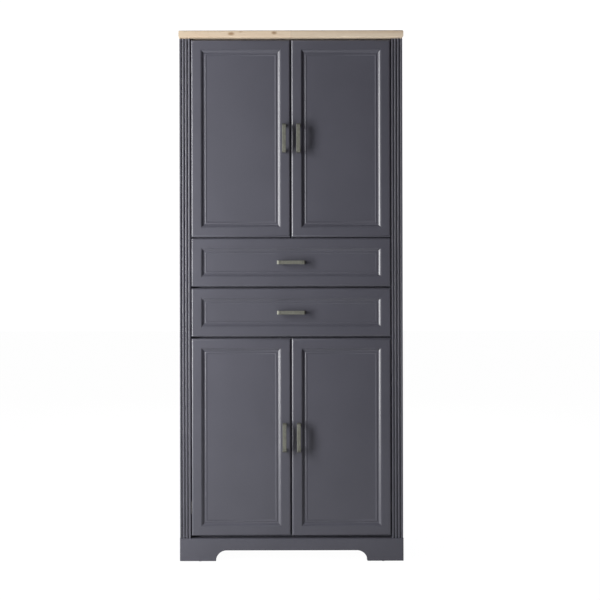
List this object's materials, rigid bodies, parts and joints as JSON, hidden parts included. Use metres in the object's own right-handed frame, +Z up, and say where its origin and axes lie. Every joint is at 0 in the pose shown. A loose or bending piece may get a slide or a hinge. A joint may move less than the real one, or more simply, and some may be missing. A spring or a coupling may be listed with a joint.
{
  "type": "pantry cabinet",
  "caption": "Tall pantry cabinet with panelled doors above and below two drawers, fluted pilasters, an arched plinth and an overhanging wooden top.",
  "frame": {"origin": "on the floor, at the centre of the bounding box in plan, handles included", "axes": "+Z up, front faces -Y, +X to the right as seen from the front"},
  "size_m": [0.85, 0.413, 2.01],
  "materials": {
    "graphite_front": "satin graphite lacquer foil on MDF",
    "graphite_carcass": "matt graphite melamine on chipboard",
    "oak_decor": "light oak decor with fine pores",
    "back_board": "matt printed hardboard",
    "drawer_box": "matt grey melamine",
    "handle_metal": "satin gunmetal",
    "hinge_steel": "nickel plated",
    "runner_steel": "zinc plated",
    "fitting_steel": "zinc plated",
    "plastic": "matt",
    "clear_rubber": "soft satin"
  },
  "bodies": {
    "carcass": {"adjustable_shelf_lower": "graphite_carcass", "adjustable_shelf_middle": "graphite_carcass", "adjustable_shelf_upper": "graphite_carcass", "back_joining_strip": "plastic", "back_panel_lower": "back_board", "back_panel_upper": "back_board", "bottom_panel": "graphite_carcass", "cam_fittings": "fitting_steel", "door_bumpers": "clear_rubber", "drawer_rail": "graphite_carcass", "fixed_shelf_lower": "graphite_carcass", "fixed_shelf_upper": "graphite_carcass", "floor_glides": "plastic", "hinge_arms": "hinge_steel", "hinge_battens_left": "graphite_carcass", "hinge_battens_right": "graphite_carcass", "hinge_plates": "hinge_steel", "pilaster_left": "graphite_front", "pilaster_right": "graphite_front", "plinth_back": "graphite_carcass", "plinth_front": "graphite_front", "plinth_rail": "graphite_carcass", "plinth_side_left": "graphite_carcass", "plinth_side_right": "graphite_carcass", "runner_battens": "graphite_carcass", "runner_cabinet_members": "runner_steel", "shelf_pins": "fitting_steel", "side_panel_left": "graphite_carcass", "side_panel_right": "graphite_carcass", "top_board": "oak_decor", "top_panel": "graphite_carcass", "wall_brackets": "fitting_steel"},
    "door_upper_left": {"door_upper_left": "graphite_front", "hinge_cups_upper_left": "hinge_steel", "door_handle_upper_left": "handle_metal"},
    "door_upper_right": {"door_upper_right": "graphite_front", "hinge_cups_upper_right": "hinge_steel", "door_handle_upper_right": "handle_metal"},
    "drawer_upper": {"drawer_front_upper": "graphite_front", "drawer_side_left_upper": "drawer_box", "drawer_side_right_upper": "drawer_box", "drawer_back_upper": "drawer_box", "drawer_bottom_upper": "back_board", "drawer_handle_upper": "handle_metal", "runner_drawer_members_upper": "runner_steel"},
    "runner_middle_upper": {"runner_middle_members_upper": "runner_steel"},
    "door_lower_left": {"door_lower_left": "graphite_front", "hinge_cups_lower_left": "hinge_steel", "door_handle_lower_left": "handle_metal"},
    "door_lower_right": {"door_lower_right": "graphite_front", "hinge_cups_lower_right": "hinge_steel", "door_handle_lower_right": "handle_metal"},
    "drawer_lower": {"drawer_front_lower": "graphite_front", "drawer_side_left_lower": "drawer_box", "drawer_side_right_lower": "drawer_box", "drawer_back_lower": "drawer_box", "drawer_bottom_lower": "back_board", "drawer_handle_lower": "handle_metal", "runner_drawer_members_lower": "runner_steel"},
    "runner_middle_lower": {"runner_middle_members_lower": "runner_steel"}
  },
  "joints": [
    {"name": "door_upper_left_hinge", "type": "hinge", "parent": "carcass", "child": "door_upper_left", "pos_m": [-0.3685, -0.168, 1.60275], "axis": [0, 0, -1], "range_deg": [0, 100]},
    {"name": "door_upper_right_hinge", "type": "hinge", "parent": "carcass", "child": "door_upper_right", "pos_m": [0.3685, -0.168, 1.60275], "axis": [0, 0, 1], "range_deg": [0, 100]},
    {"name": "drawer_upper_slide", "type": "slide", "parent": "carcass", "child": "drawer_upper", "axis": [0, -1, 0], "range_m": [0, 0.3]},
    {"name": "runner_middle_upper_slide", "type": "slide", "parent": "carcass", "child": "runner_middle_upper", "axis": [0, -1, 0], "range_m": [0, 0.15]},
    {"name": "door_lower_left_hinge", "type": "hinge", "parent": "carcass", "child": "door_lower_left", "pos_m": [-0.3685, -0.168, 0.47025], "axis": [0, 0, -1], "range_deg": [0, 100]},
    {"name": "door_lower_right_hinge", "type": "hinge", "parent": "carcass", "child": "door_lower_right", "pos_m": [0.3685, -0.168, 0.47025], "axis": [0, 0, 1], "range_deg": [0, 100]},
    {"name": "drawer_lower_slide", "type": "slide", "parent": "carcass", "child": "drawer_lower", "axis": [0, -1, 0], "range_m": [0, 0.3]},
    {"name": "runner_middle_lower_slide", "type": "slide", "parent": "carcass", "child": "runner_middle_lower", "axis": [0, -1, 0], "range_m": [0, 0.15]}
  ],
  "couplings": [
    {"joint": "runner_middle_upper_slide", "follows": "drawer_upper_slide", "ratio": 0.5},
    {"joint": "runner_middle_lower_slide", "follows": "drawer_lower_slide", "ratio": 0.5}
  ]
}
